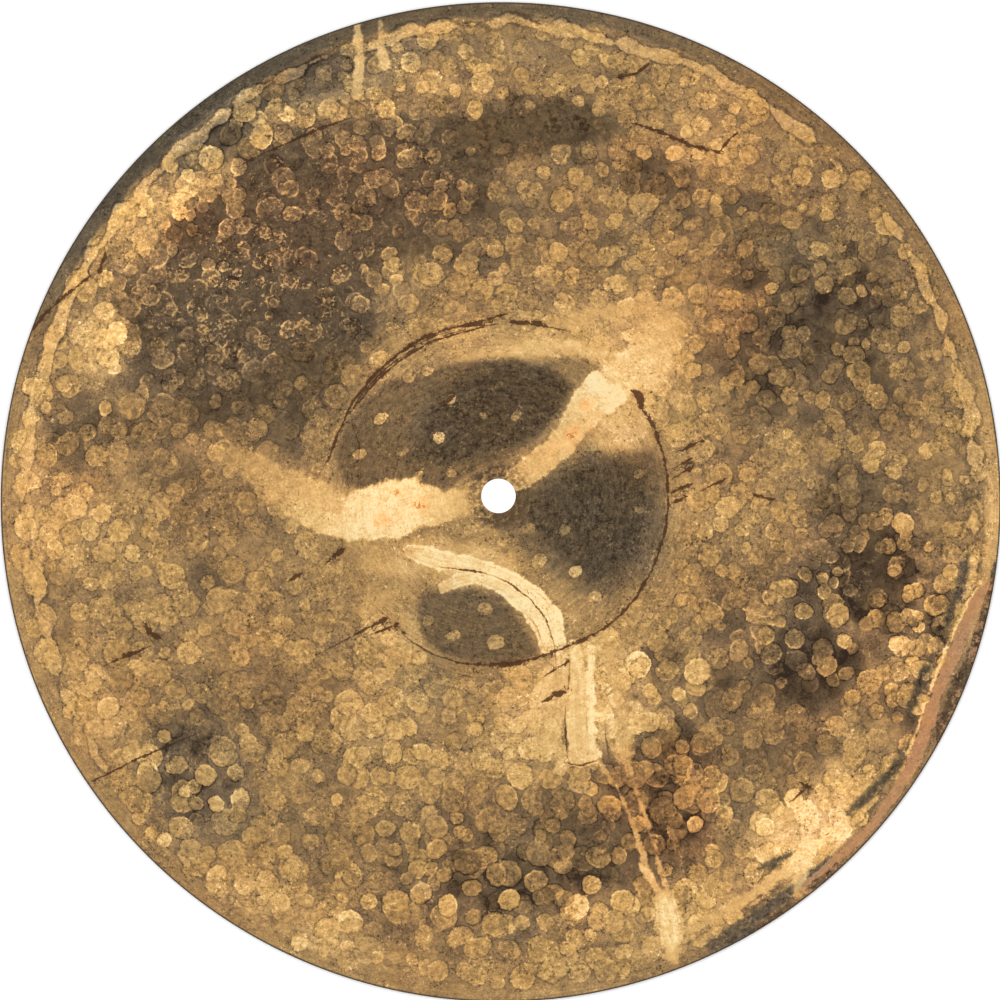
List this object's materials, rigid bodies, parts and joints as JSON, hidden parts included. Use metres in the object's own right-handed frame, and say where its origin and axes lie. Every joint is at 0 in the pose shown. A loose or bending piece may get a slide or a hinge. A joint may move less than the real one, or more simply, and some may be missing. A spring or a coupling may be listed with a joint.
{
  "type": "crash cymbal",
  "caption": "Thin round bronze crash cymbal: raised bell, bowed hammered body with a raw dark and gold patina, thin edge, and a plain centre hole for a stand.",
  "frame": {"origin": "on the axis of the stand hole, in the plane that the edge rests on", "axes": "+Z along the axis of the hole, from the resting plane towards the top of the bell; X and Y are free, because the disc is round, and +Y is the way the visual model's patina has its dark upper part"},
  "size_m": [0.4064, 0.4064, 0.042],
  "materials": {
    "raw_bronze": "raw hammered cast bronze with an uneven patina, golden hammer marks on grey-brown oxide, satin to matt"
  },
  "bodies": {
    "root": {"cymbal": "raw_bronze"}
  },
  "joints": []
}
